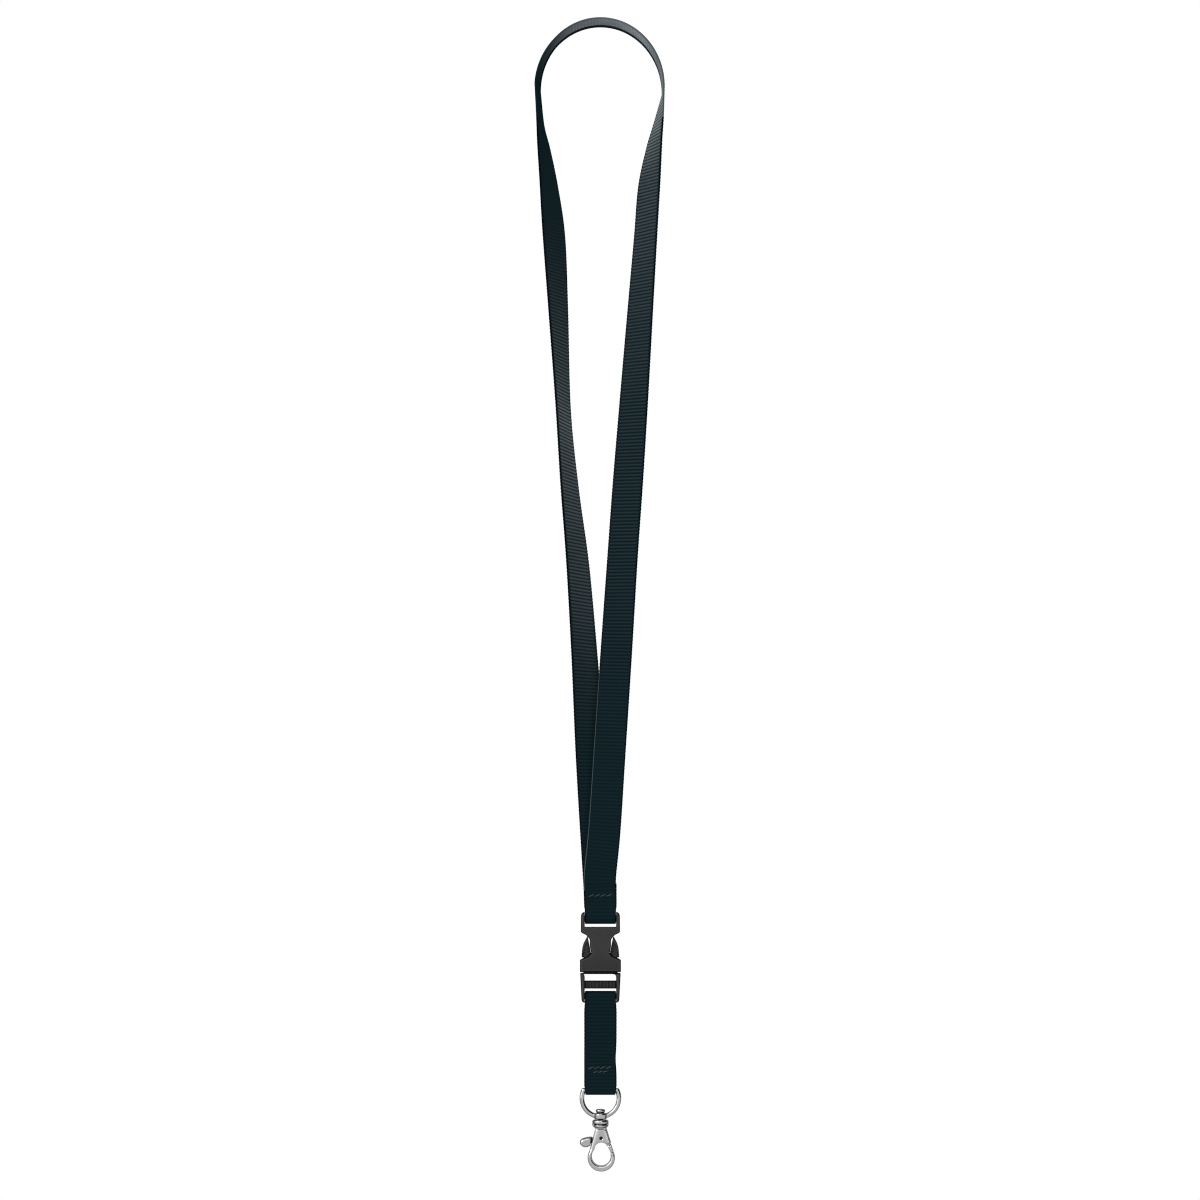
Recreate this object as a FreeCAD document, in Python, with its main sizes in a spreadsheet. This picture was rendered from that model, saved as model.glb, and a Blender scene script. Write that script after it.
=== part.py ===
# A woven neck lanyard: a long webbing loop sewn to the upper half of a side-release buckle, and a short
# webbing loop that carries a D-ring with a swivel trigger clasp from the lower half.
# Millimetres, +Z up, X to the wearer's side, -Y towards the viewer. The origin is the middle of the inner face
# of the webbing at the top of the neck arch, where the lanyard rests on the neck.
import FreeCAD
import Part
import Sketcher
import math
import os
from FreeCAD import Placement, Rotation, Vector

os.makedirs("parts", exist_ok=True)
doc = FreeCAD.newDocument("lanyard")
sheet = doc.addObject("Spreadsheet::Sheet", "dims")
size = {}
sheet_row = [1]


def dims(table):
    """Write a group of named dimensions into the sheet, and keep their values for the webbing path."""
    for alias, value in table.items():
        row = sheet_row[0]
        sheet.set(f"A{row}", alias)
        sheet.set(f"B{row}", str(value))
        sheet.setAlias(f"B{row}", alias)
        size[alias] = float(value)
        sheet_row[0] = row + 1


# Where the parts hang. The buckle's parting line is the local zero of all the hardware.
dims({"hang_y": -110.0, "split_z": -450.3, "lean_deg": 16.0})
# Webbing
dims({"web_width": 15.0, "web_thick": 0.9, "slot_web_width": 14.4, "ply_gap": 0.08, "thread_r": 0.2})
# Neck arch, as the middle surface of the webbing seen square to the loop
dims({"arch_half_width": 30.1, "arch_rise": 34.57, "arch_tilt_deg": 4.0})
# Buckle, both halves
dims({"buckle_thick": 6.2, "slot_half": 7.3, "bar_radius": 1.5, "edge_round": 0.6, "play": 0.05,
      "cut_over": 1.0})
# Buckle socket
dims({"head_top": 28.0, "head_half": 9.0, "head_low": 18.6, "head_low_half": 9.1, "shoulder_z": 17.4,
      "shoulder_half": 6.6, "neck_top": 15.4, "neck_half": 4.9, "neck_mid": 12.0, "waist_z": 9.0,
      "waist_half": 4.3, "flare_z": 7.5, "flare_half": 5.6, "flare_end_z": 6.3, "flare_end_half": 8.5,
      "mouth_top": 5.7, "mouth_half": 9.5, "mouth_low": 0.25, "slot_low": 21.0, "socket_bar_z": 24.95,
      "head_corner": 1.9, "cavity_half": 8.2, "cavity_top": 17.2, "cavity_thick": 3.7, "bend_round": 1.2,
      "armpit_round": 2.0, "flare_round": 1.4})
# Buckle plug
dims({"frame_top": -0.35, "frame_half": 9.4, "frame_low_half": 8.7, "frame_low": -14.05, "frame_corner": 1.6,
      "window_top": -0.67, "window_low": -3.9, "window_corner": 1.4, "ladder_low": -7.45, "ladder_thick": 3.6,
      "rib_pitch": 1.6, "rib_width": 0.8, "rib_deep": 0.4, "rib_count": 9, "plug_bar_z": -11.08,
      "shoulder_round": 0.5, "relief_lip": 0.6,
      "tongue_half": 8.0, "tongue_thick": 3.5, "tongue_top": 3.3, "guide_half": 1.9, "guide_top": 13.0})
# Latch arms: a thin plate with a raised rim, raised finger ribs, and grip grooves in its outer edge
dims({"arm_thick": 3.4, "arm_plate": 2.6, "root_x": 6.6, "root_z": 3.3, "root_radius": 1.1, "stem_in": 5.9,
      "stem_out": 7.85, "catch_z": 7.0, "catch_half": 8.65, "belly_z": 8.6, "belly_half": 8.7,
      "rib_line_z": 11.3, "rib_line_half": 8.4, "brow_z": 13.4, "brow_half": 7.85, "tip_z": 16.5,
      "tip_half": 6.25, "tip_in_half": 5.9, "inner_z": 8.3, "inner_half": 4.3, "rim_width": 0.75,
      "rim_apex_z": 14.3, "grip_pitch": 1.15, "grip_deep": 0.25, "grip_wide": 0.35, "finger_z": 10.2,
      "finger_fall": 1.0, "finger_pitch": 1.5, "finger_wide": 0.5})
# D-ring
dims({"ring_wire_r": 1.1, "ring_radius": 8.6, "ring_bar_z": -54.8, "ring_drop": 3.6, "boss_radius": 3.0,
      "boss_top": -65.3, "boss_low": -68.15})
# Swivel post
dims({"post_head_r": 2.25, "post_head_top": -63.5, "post_radius": 1.1, "foot_radius": 2.9, "foot_top": -70.25,
      "foot_low": -70.85})
# Hook body
dims({"collar_radius": 3.75, "collar_top": -68.45, "collar_low": -72.2, "collar_slot_half": 3.0,
      "hook_thick": 3.6, "hook_mid_x": 0.4, "hook_round": 0.5, "eye_z": -86.1, "eye_radius": 6.3,
      "eye_hole_z": -85.3, "eye_hole_r": 4.45, "eye_crown_z": -82.1, "eye_crown_r": 3.2,
      "pivot_x": 0.3, "pivot_z": -76.9, "pin_radius": 0.8,
      "lever_slot": 1.9, "lever_thick": 1.7, "hub_radius": 2.0, "tab_thick": 4.8, "gate_thick": 3.0,
      "collar_round": 0.5, "tab_round": 1.3})
# Gate spring: a short torsion coil round the pin, in the lever's pocket
dims({"spring_wire_r": 0.15, "spring_radius": 1.13, "spring_pitch": 0.33, "spring_lift": 0.18})
GRIP_GROOVES = 2
FINGER_RIBS = 2
SPRING_TURNS = 1.5
RULED = True
STEPS = 3
ARCH_PARTS = 24
BEND_PARTS = 12
POST_REACH = 5.0
STITCHES = 5
STITCH_SPREAD = 11.0
STITCH_RISE = 0.9
# Outlines of the die-cast clasp as (x, z) corners: the hook's tapering cheeks, the gap in its eye that the gate
# closes, the room inside it for the lever, and the lever's own arms, gate bar and thumb tab.
HOOK_CHEEKS = [("-2.1", "collar_low+collar_round"), (2.6, "collar_low+collar_round"), (5.15, -80), (6.0, -84.5),
               (5.5, "eye_z"), ("-5.0", "eye_z"), ("-5.7", -85.4)]
GATE_MOUTH = [(2.4, -79.6), (8.4, -78.6), (9.2, -80.8), (3.5, -85.23)]
LEVER_SPACE = [("-7", "pivot_z+2.5"), (7, "pivot_z+2.5"), (7, -81.6), (0, -81.6), ("-7", -81.8)]
GATE_ROOT = [(0.9, "pivot_z+1.9"), (2.1, "pivot_z+0.9"), (5.05, -80.2), (3.6, -81.0), (2.3, -79.4),
             ("-1", "pivot_z-1.5")]
GATE_BAR = [(4.95, -80.0), (6.03, -83.14), (4.92, -84.0), (3.5, -80.9)]
THUMB_ARM = [(0, "pivot_z+1.9"), ("-4.6", -77.0), ("-5.2", -79.6), ("-1", "pivot_z-1.5")]
THUMB_TAB = [("-4.1", -76.3), ("-6.6", -76.6), ("-8.5", -77.2), ("-9.6", -78.4), ("-9.4", -79.7),
             ("-8.2", -80.9), ("-6.5", -81.2), ("-4.7", -80.4)]


def expr(text):
    """Turn alias words inside a small formula into references to the sheet."""
    if isinstance(text, (int, float)):
        return str(text)
    words = sorted((w for w in size if w in text), key=len, reverse=True)
    out, i = "", 0
    while i < len(text):
        hit = next((w for w in words if text.startswith(w, i)), None)
        if hit:
            out += "dims." + hit
            i += len(hit)
        else:
            out += text[i]
            i += 1
    return out


def value(text):
    """The number a small formula over the aliases stands for, from its sum of signed terms."""
    if isinstance(text, (int, float)):
        return float(text)
    total = 0.0
    for term in text.replace("-", "+-").split("+"):
        term = term.strip()
        if not term:
            continue
        sign = 1.0
        if term.startswith("-"):
            sign, term = -1.0, term[1:].strip()
        product = 1.0
        for factor in term.split("*"):
            parts = [f.strip() for f in factor.split("/")]
            number = size[parts[0]] if parts[0] in size else float(parts[0])
            for d in parts[1:]:
                number /= size[d] if d in size else float(d)
            product *= number
        total += sign * product
    return total


def body(name):
    """A PartDesign body whose local origin is the hardware's: on the hanging line, at the buckle's parting."""
    b = doc.addObject("PartDesign::Body", name)
    b.Label = name
    b.setExpression(".Placement.Base.y", "dims.hang_y")
    b.setExpression(".Placement.Base.z", "dims.split_z")
    return b


def sketch(b, name, plane):
    s = b.newObject("Sketcher::SketchObject", name)
    s.AttachmentSupport = [(next(f for f in b.Origin.OriginFeatures if f.Role == plane), "")]
    s.MapMode = "FlatFace"
    return s


def hold(s, geo, point, x, z):
    """Fix a sketch point at a place given by formulas over the sheet."""
    for kind, text in (("DistanceX", x), ("DistanceY", z)):
        n = s.addConstraint(Sketcher.Constraint(kind, -1, 1, geo, point, value(text)))
        s.setExpression(f"Constraints[{n}]", expr(text))


def outline(b, name, plane, corners):
    """A closed straight-sided outline with every corner held by the sheet."""
    s = sketch(b, name, plane)
    spots = [Vector(value(x), value(z), 0) for x, z in corners]
    count = len(spots)
    for i in range(count):
        s.addGeometry(Part.LineSegment(spots[i], spots[(i + 1) % count]), False)
    for i in range(count):
        s.addConstraint(Sketcher.Constraint("Coincident", i, 2, (i + 1) % count, 1))
    for i, (x, z) in enumerate(corners):
        hold(s, i, 1, x, z)
    return s


def mirrored(half):
    """Complete a right-hand half outline, listed from the top down, with its left-hand twin."""
    left = [(f"-{x}" if isinstance(x, str) else -x, z) for x, z in reversed(half)]
    return half + left


def circles(b, name, plane, rounds):
    """Circles given as (x, z, radius) formulas."""
    s = sketch(b, name, plane)
    for i, (x, z, r) in enumerate(rounds):
        s.addGeometry(Part.Circle(Vector(value(x), value(z), 0), Vector(0, 0, 1), value(r)), False)
        hold(s, i, 3, x, z)
        n = s.addConstraint(Sketcher.Constraint("Radius", i, value(r)))
        s.setExpression(f"Constraints[{n}]", expr(r))
    return s


def pad(b, s, length, kind="PartDesign::Pad"):
    """Pad or pocket a sketch equally to both sides of its plane."""
    f = b.newObject(kind, s.Name + ("_pad" if kind.endswith("Pad") else "_cut"))
    f.Profile = s
    f.Midplane = True
    f.Length = value(length)
    f.setExpression("Length", expr(length))
    s.Visibility = False
    b.Tip = f
    return f


def cut(b, s, length):
    return pad(b, s, length, "PartDesign::Pocket")


def swept_round(b, s, turn):
    """Turn a sketch about its own construction line, equally to both sides of its plane."""
    f = b.newObject("PartDesign::Revolution", s.Name + "_turned")
    f.Profile = s
    f.ReferenceAxis = (s, ["Axis0"])
    f.Angle = turn
    f.Midplane = True
    s.Visibility = False
    b.Tip = f


def turned(b, name, corners, kind="PartDesign::Revolution"):
    """Turn a half outline about the hanging line."""
    s = outline(b, name, "XZ_Plane", corners)
    f = b.newObject(kind, name + "_turned")
    f.Profile = s
    f.ReferenceAxis = (s, ["V_Axis"])
    f.Angle = 360
    s.Visibility = False
    b.Tip = f
    return f


def soften(b, choose, radius, name):
    """Round the edges that `choose` picks on the body so far."""
    doc.recompute()
    base = b.Tip
    picked = [f"Edge{i + 1}" for i, e in enumerate(base.Shape.Edges) if choose(e)]
    f = b.newObject("PartDesign::Fillet", name)
    f.Base = (base, picked)
    f.Radius = value(radius)
    f.setExpression("Radius", expr(radius))
    b.Tip = f
    doc.recompute()
    return f


def upright(e, x, z):
    """True for an edge along Y that stands near (x, z), on either side of the middle."""
    reach = 0.15
    ends = [v.Point for v in e.Vertexes]
    if len(ends) < 2 or abs(ends[0].y - ends[1].y) < 0.5 or abs(ends[0].x - ends[1].x) > 0.01:
        return False
    return abs(abs(ends[0].x) - x) < reach and abs(ends[0].z - z) < reach


def on_face(e, y):
    """True for an edge that lies wholly in the plane at depth y, in front or behind."""
    ys = [abs(e.valueAt(e.FirstParameter + k * (e.LastParameter - e.FirstParameter) / 4).y) for k in range(5)]
    return all(abs(v - y) < 0.01 for v in ys)


# ---------------------------------------------------------------- buckle socket (upper half)
socket = body("buckle_socket")
pad(socket, outline(socket, "socket_silhouette", "XZ_Plane", mirrored([
    ("head_half", "head_top"), ("head_low_half", "head_low"), ("shoulder_half", "shoulder_z"),
    ("neck_half", "neck_top"), ("neck_half", "neck_mid"), ("waist_half", "waist_z"), ("flare_half", "flare_z"),
    ("flare_end_half", "flare_end_z"), ("mouth_half", "mouth_top"), ("mouth_half", "mouth_low")])),
    "buckle_thick")
for spot_x, spot_z, round_r, tag in (
        ("head_half", "head_top", "head_corner", "head_corners"),
        ("head_low_half", "head_low", "bend_round", "head_heels"),
        ("shoulder_half", "shoulder_z", "bend_round", "shoulders"),
        ("neck_half", "neck_top", "armpit_round", "armpits"),
        ("flare_half", "flare_z", "flare_round", "flares"),
        ("flare_end_half", "flare_end_z", "bend_round", "flare_ends")):
    soften(socket, lambda e: upright(e, value(spot_x), value(spot_z)), round_r, tag)
soften(socket, lambda e: on_face(e, size["buckle_thick"] / 2), "edge_round", "socket_rim")
cut(socket, outline(socket, "cavity", "XZ_Plane", mirrored([
    ("cavity_half", "cavity_top"), ("cavity_half", "mouth_low-cut_over")])), "cavity_thick")
cut(socket, outline(socket, "strap_slot", "XZ_Plane", mirrored([
    ("slot_half", "head_top+cut_over"), ("slot_half", "slot_low")])), "buckle_thick+cut_over")
pad(socket, circles(socket, "socket_bar", "YZ_Plane", [(0, "socket_bar_z", "bar_radius")]),
    "slot_half*2+cut_over")

# ---------------------------------------------------------------- buckle plug (lower half)
plug = body("buckle_plug")
pad(plug, outline(plug, "frame_silhouette", "XZ_Plane", mirrored([
    ("frame_half", "frame_top"), ("frame_low_half", "frame_low")])), "buckle_thick")
soften(plug, lambda e: upright(e, size["frame_low_half"], size["frame_low"]), "frame_corner", "frame_corners")
soften(plug, lambda e: upright(e, size["frame_half"], size["frame_top"]), "shoulder_round", "frame_shoulders")
soften(plug, lambda e: on_face(e, size["buckle_thick"] / 2), "edge_round", "frame_rim")
cut(plug, outline(plug, "window", "XZ_Plane", mirrored([
    ("slot_half-window_corner", "window_top"), ("slot_half-window_corner*0.5", "window_top-window_corner*0.13"),
    ("slot_half-window_corner*0.13", "window_top-window_corner*0.5"), ("slot_half", "window_top-window_corner"),
    ("slot_half", "window_low")])), "buckle_thick+cut_over")
cut(plug, outline(plug, "strap_opening", "XZ_Plane", mirrored([
    ("slot_half", "ladder_low"), ("slot_half", "frame_low-cut_over")])), "buckle_thick+cut_over")
pad(plug, circles(plug, "plug_bar", "YZ_Plane", [(0, "plug_bar_z", "bar_radius")]), "slot_half*2+cut_over")
for sign, tag in (("", "back"), ("-", "front")):
    cut(plug, outline(plug, "ladder_relief_" + tag, "YZ_Plane", [
        (sign + "ladder_thick/2", "window_low+relief_lip"), (sign + "ladder_thick/2", "ladder_low-relief_lip"),
        (sign + "buckle_thick", "ladder_low-relief_lip"), (sign + "buckle_thick", "window_low+relief_lip")]),
        "slot_half*2")
rib_left = "-rib_pitch*rib_count/2+rib_pitch/2-rib_width/2"
rib_right = "-rib_pitch*rib_count/2+rib_pitch/2+rib_width/2"
first_rib = outline(plug, "ladder_rib", "XZ_Plane", [
    (rib_left, "window_low"), (rib_right, "window_low"), (rib_right, "ladder_low"), (rib_left, "ladder_low")])
first_rib_pad = pad(plug, first_rib, "ladder_thick+rib_deep*2")
doc.recompute()
ribs = plug.newObject("PartDesign::LinearPattern", "ladder_ribs")
ribs.Originals = [first_rib_pad]
ribs.Direction = (first_rib, ["H_Axis"])
ribs.setExpression("Length", "dims.rib_pitch * (dims.rib_count - 1)")
ribs.setExpression("Occurrences", "dims.rib_count")
plug.Tip = ribs
doc.recompute()
pad(plug, outline(plug, "tongue", "XZ_Plane", mirrored([
    ("tongue_half", "tongue_top"), ("tongue_half", "frame_top"), ("slot_half", "frame_top"),
    ("slot_half", "window_top")])), "tongue_thick")
pad(plug, outline(plug, "guide", "XZ_Plane", mirrored([
    ("guide_half", "guide_top"), ("guide_half", "tongue_top-cut_over")])), "tongue_thick")
cut(plug, circles(plug, "arm_seats", "XZ_Plane", [
    ("root_x", "root_z", "root_radius+play"), ("-root_x", "root_z", "root_radius+play")]),
    "tongue_thick+cut_over")

# ---------------------------------------------------------------- latch arms
for sign, name in (("-", "latch_arm_left"), ("", "latch_arm_right")):
    arm = body(name)
    inward, outward = ("+", "-") if sign else ("-", "+")
    outer_edge = [("tip_half", "tip_z"), ("brow_half", "brow_z"), ("rib_line_half", "rib_line_z"),
                  ("belly_half", "belly_z"), ("catch_half", "catch_z")]
    stem = [("stem_out", "catch_z"), ("stem_out", "root_z+play"), ("stem_in", "root_z"), ("stem_in", "catch_z")]
    inner_edge = [("inner_half", "inner_z"), ("tip_in_half", "tip_z")]
    pad(arm, outline(arm, name + "_plate", "XZ_Plane", [
        (sign + x, z) for x, z in outer_edge + stem + inner_edge]), "arm_plate")
    pad(arm, outline(arm, name + "_stem", "XZ_Plane", [(sign + x, z) for x, z in stem]), "arm_thick")
    rim_inside = [(x + inward + "rim_width", z) for x, z in outer_edge[:1:-1]]
    pad(arm, outline(arm, name + "_rim", "XZ_Plane", [(sign + x, z) for x, z in outer_edge + rim_inside + [
        ("tip_in_half", "rim_apex_z"), ("inner_half" + outward + "rim_width", "inner_z")]
        + inner_edge]), "arm_thick")
    for k in range(FINGER_RIBS):
        high = f"finger_z+finger_pitch*{k}"
        finger = [("inner_half" + outward + "rim_width", high),
                  ("rib_line_half" + inward + "rim_width/2", high + "-finger_fall"),
                  ("rib_line_half" + inward + "rim_width/2", high + "-finger_fall+finger_wide"),
                  ("inner_half" + outward + "rim_width", high + "+finger_wide")]
        pad(arm, outline(arm, f"{name}_finger{k}", "XZ_Plane", [(sign + x, z) for x, z in finger]), "arm_thick")
    pad(arm, circles(arm, name + "_root", "XZ_Plane", [(sign + "root_x", "root_z", "root_radius")]),
        "arm_thick")
    for k in range(GRIP_GROOVES):
        low = f"belly_z+grip_pitch*{k}+play*4"
        groove = [("belly_half" + inward + "grip_deep", low), ("mouth_half", low),
                  ("mouth_half", low + "+grip_wide"), ("belly_half" + inward + "grip_deep", low + "+grip_wide")]
        cut(arm, outline(arm, f"{name}_grip{k}", "XZ_Plane", [(sign + x, z) for x, z in groove]),
            "arm_thick+cut_over")

# ---------------------------------------------------------------- D-ring
ring = body("d_ring")
hoop = circles(ring, "hoop", "YZ_Plane", [(0, "ring_bar_z-ring_drop-ring_radius", "ring_wire_r")])
axis_line = hoop.addGeometry(Part.LineSegment(Vector(-4, value("ring_bar_z-ring_drop"), 0),
                                              Vector(4, value("ring_bar_z-ring_drop"), 0)), True)
hold(hoop, axis_line, 1, -4, "ring_bar_z-ring_drop")
hold(hoop, axis_line, 2, 4, "ring_bar_z-ring_drop")
# the hoop stops where the straight bar crosses it
rise_deg = math.degrees(math.asin(size["ring_drop"] / size["ring_radius"]))
swept_round(ring, hoop, 180 + 2 * rise_deg)
corner_x = size["ring_radius"] * math.cos(math.radians(rise_deg))
pad(ring, circles(ring, "ring_bar", "YZ_Plane", [(0, "ring_bar_z", "ring_wire_r")]), corner_x * 2)
for tag, x in (("left", -corner_x), ("right", corner_x)):
    ball = ring.newObject("PartDesign::AdditiveSphere", "ring_corner_" + tag)
    ball.setExpression("Radius", "dims.ring_wire_r")
    ball.Placement = Placement(Vector(x, 0, size["ring_bar_z"]), Rotation())
    ring.Tip = ball
turned(ring, "ring_boss", [(0, "boss_top"), ("boss_radius-0.5", "boss_top"), ("boss_radius", "boss_top-0.5"),
                           ("boss_radius", "boss_low+0.4"), ("boss_radius-0.4", "boss_low"), (0, "boss_low")])
turned(ring, "post_bore", [(0, "boss_top+3"), ("post_radius+play", "boss_top+3"),
                           ("post_radius+play", "boss_low-1"), (0, "boss_low-1")], "PartDesign::Groove")

# ---------------------------------------------------------------- swivel post
post = body("swivel_post")
turned(post, "post_profile", [
    (0, "post_head_top"), ("post_head_r-0.6", "post_head_top"), ("post_head_r", "post_head_top-0.5"),
    ("post_head_r", "post_head_top-0.9"), ("post_head_r-0.5", "boss_top+play"),
    ("post_radius", "boss_top+play"),
    ("post_radius", "foot_top"), ("foot_radius", "foot_top"), ("foot_radius", "foot_low"), (0, "foot_low")])

# ---------------------------------------------------------------- hook body
hook = body("hook_body")
turned(hook, "collar", [
    (0, "collar_top"), ("collar_radius-collar_round", "collar_top"),
    ("collar_radius", "collar_top-collar_round"),
    ("collar_radius", "collar_low+1.2"), ("collar_radius-collar_round", "collar_low+0.3"),
    ("post_head_r", "collar_low"), (0, "collar_low")])
pad(hook, outline(hook, "neck_and_cheeks", "XZ_Plane", HOOK_CHEEKS), "hook_thick")
pad(hook, circles(hook, "eye_outside", "XZ_Plane", [("hook_mid_x", "eye_z", "eye_radius")]), "hook_thick")
cut(hook, circles(hook, "eye_lower", "XZ_Plane", [("hook_mid_x", "eye_hole_z", "eye_hole_r")]),
    "hook_thick+cut_over")
cut(hook, outline(hook, "eye_middle", "XZ_Plane", [
    ("hook_mid_x-eye_hole_r+play", "eye_hole_z"), ("hook_mid_x-eye_crown_r", "eye_crown_z"),
    ("hook_mid_x+eye_crown_r", "eye_crown_z"), ("hook_mid_x+eye_hole_r-play", "eye_hole_z")]),
    "hook_thick+cut_over")
cut(hook, circles(hook, "eye_crown", "XZ_Plane", [("hook_mid_x", "eye_crown_z", "eye_crown_r")]),
    "hook_thick+cut_over")
soften(hook, lambda e: on_face(e, size["hook_thick"] / 2) and e.BoundBox.ZMin < size["pivot_z"],
       "hook_round", "hook_edges")
cut(hook, outline(hook, "gate_mouth", "XZ_Plane", GATE_MOUTH), "hook_thick+cut_over")
cut(hook, outline(hook, "lever_space", "XZ_Plane", LEVER_SPACE), "lever_slot")
cut(hook, outline(hook, "collar_window", "XZ_Plane", mirrored([
    ("collar_slot_half", "foot_top+play"), ("collar_slot_half", "foot_low-play")])), "collar_radius*2+cut_over")
turned(hook, "post_seat", [
    (0, "collar_top+cut_over"), ("post_radius", "collar_top+cut_over"), ("post_radius", "foot_top-play"),
    (0, "foot_top-play")], "PartDesign::Groove")
cut(hook, circles(hook, "pin_hole", "XZ_Plane", [("pivot_x", "pivot_z", "pin_radius")]), "hook_thick+cut_over")

# ---------------------------------------------------------------- pivot pin
pin = body("pivot_pin")
pad(pin, circles(pin, "pin_round", "XZ_Plane", [("pivot_x", "pivot_z", "pin_radius")]), "hook_thick")

# ---------------------------------------------------------------- gate lever
lever = body("gate_lever")
pad(lever, circles(lever, "hub", "XZ_Plane", [("pivot_x", "pivot_z", "hub_radius")]), "lever_thick")
pad(lever, outline(lever, "gate_root", "XZ_Plane", GATE_ROOT), "lever_thick")
pad(lever, outline(lever, "gate_bar", "XZ_Plane", GATE_BAR), "gate_thick")
pad(lever, outline(lever, "thumb_arm", "XZ_Plane", THUMB_ARM), "lever_thick")
pad(lever, outline(lever, "thumb_tab", "XZ_Plane", THUMB_TAB), "tab_thick")
soften(lever, lambda e: on_face(e, size["tab_thick"] / 2), "tab_round", "tab_edges")
cut(lever, circles(lever, "hub_bore", "XZ_Plane", [("pivot_x", "pivot_z", "pin_radius+play")]),
    "lever_thick+cut_over")
# the spring's pocket is sunk into the front half of the hub only
spring_pocket = lever.newObject("PartDesign::Pocket", "spring_pocket_cut")
spring_pocket.Profile = circles(lever, "spring_pocket", "XZ_Plane", [("pivot_x", "pivot_z", "hub_radius-0.5")])
spring_pocket.Reversed = True
spring_pocket.setExpression("Length", "dims.lever_thick / 2")
lever.Tip = spring_pocket


# ---------------------------------------------------------------- gate spring
def spring_coil():
    """The coil as many-sided wire sections lofted along a helix about Y, starting at the pocket's mouth."""
    steps, sides = 18, 10
    stop = int(steps * SPRING_TURNS)
    wires = []
    for k in range(stop + 1):
        turn = 2 * math.pi * k / steps
        out = Vector(math.cos(turn), 0, math.sin(turn))
        centre = out * size["spring_radius"] + Vector(0, size["spring_pitch"] * k / steps, 0)
        ring_points = []
        for j in range(sides):
            a = 2 * math.pi * j / sides
            ring_points.append(centre + out * (size["spring_wire_r"] * math.cos(a))
                               + Vector(0, size["spring_wire_r"] * math.sin(a), 0))
        wires.append(Part.makePolygon(ring_points + [ring_points[0]]))
    return Part.makeLoft(wires, True, RULED)


spring = doc.addObject("Part::Feature", "gate_spring")
spring.Label = "gate_spring"
spring.Shape = spring_coil()
spring.Placement = Placement(Vector(
    size["pivot_x"], size["hang_y"] - size["lever_thick"] / 2 + size["spring_lift"],
    size["split_z"] + size["pivot_z"]), Rotation())

# ---------------------------------------------------------------- webbing
LEAN = math.radians(size["lean_deg"])
ACROSS = Vector(1, 0, 0)
LOOP_NORMAL = Vector(0, math.cos(LEAN), -math.sin(LEAN))
UP_LOOP = Vector(0, math.sin(LEAN), math.cos(LEAN))
PLY = size["web_thick"] + size["ply_gap"]
BEND = size["bar_radius"] + 2 * size["play"] + size["web_thick"] / 2
BAR_Z = size["split_z"] + size["socket_bar_z"]
SEAM_Z = size["split_z"] + 43.0
HANG_Y = size["hang_y"]
FULL = size["web_width"]
SLOT = size["slot_web_width"]

# Each leg from the arch down to the seam: middle of the webbing (x, y, z) and its turn in degrees, where 90 is
# edge-on as it comes off the neck and 0 lies flat to the viewer.
RIGHT_LEG = [(30.2, -9.4, -32.8, 88), (27.8, -13.3, -48.0, 72), (25.7, -16.6, -60.0, 60.5),
             (23.3, -22.1, -79.0, 46), (21.6, -29.1, -103.0, 43), (19.1, -38.7, -137.0, 36.5),
             (15.7, -52.4, -184.5, 26), (12.9, -63.2, -222.5, 18), (10.2, -73.9, -260.0, 17),
             (7.1, -87.1, -306.7, 9), (4.3, -98.5, -348.3, 7), (1.9, -108.0, -384.0, 4)]
LEFT_LEG = [(-30.0, -9.4, -32.8, 81), (-28.8, -13.3, -48.0, 77.5), (-27.1, -16.6, -60.0, 67),
            (-24.6, -22.1, -79.0, 55), (-22.2, -29.1, -103.0, 45), (-20.2, -38.7, -137.0, 51.5),
            (-17.7, -52.4, -185.0, 62.5), (-14.6, -63.1, -223.0, 56), (-10.6, -73.6, -261.0, 44.5),
            (-7.2, -86.0, -307.0, 34.5), (-4.6, -95.4, -348.5, 21), (-2.1, -104.9, -384.0, 8)]


def between(rows, parts):
    """Pass a smooth curve through rows of numbers, with `parts` steps from each row to the next."""
    out = []
    for i in range(len(rows) - 1):
        before, here = rows[max(i - 1, 0)], rows[i]
        there, after = rows[i + 1], rows[min(i + 2, len(rows) - 1)]
        for k in range(parts):
            t = k / parts
            out.append(tuple(
                0.5 * (2 * b + (c - a) * t + (2 * a - 5 * b + 4 * c - d) * t * t
                       + (3 * b - a - 3 * c + d) * t ** 3)
                for a, b, c, d in zip(before, here, there, after)))
    out.append(tuple(rows[-1]))
    return out


def bend(y, z, radius, start_deg, end_deg, widths, side):
    """Stations round a bar along X, by angle in the YZ plane, 0 behind the bar and 90 above it."""
    out = []
    for k in range(BEND_PARTS + 1):
        a = math.radians(start_deg + (end_deg - start_deg) * k / BEND_PARTS)
        wide = widths[0] + (widths[1] - widths[0]) * math.sin(math.pi * k / BEND_PARTS)
        out.append((Vector(0, y + radius * math.cos(a), z + radius * math.sin(a)), ACROSS * side, wide))
    return out


def webbing(name, stations):
    """A webbing solid lofted through (centre, width direction, width) stations."""
    wires = []
    for i, (centre, wide_dir, wide) in enumerate(stations):
        run = (stations[min(i + 1, len(stations) - 1)][0] - stations[max(i - 1, 0)][0]).normalize()
        w = (wide_dir - run * wide_dir.dot(run)).normalize() * (wide / 2)
        t = run.cross(w).normalize() * (size["web_thick"] / 2)
        ring_points = [centre + w + t, centre - w + t, centre - w - t, centre + w - t]
        wires.append(Part.makePolygon(ring_points + [ring_points[0]]))
    piece = doc.addObject("Part::Feature", name)
    piece.Label = name
    piece.Shape = Part.makeLoft(wires, True, RULED)
    return piece


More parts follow.
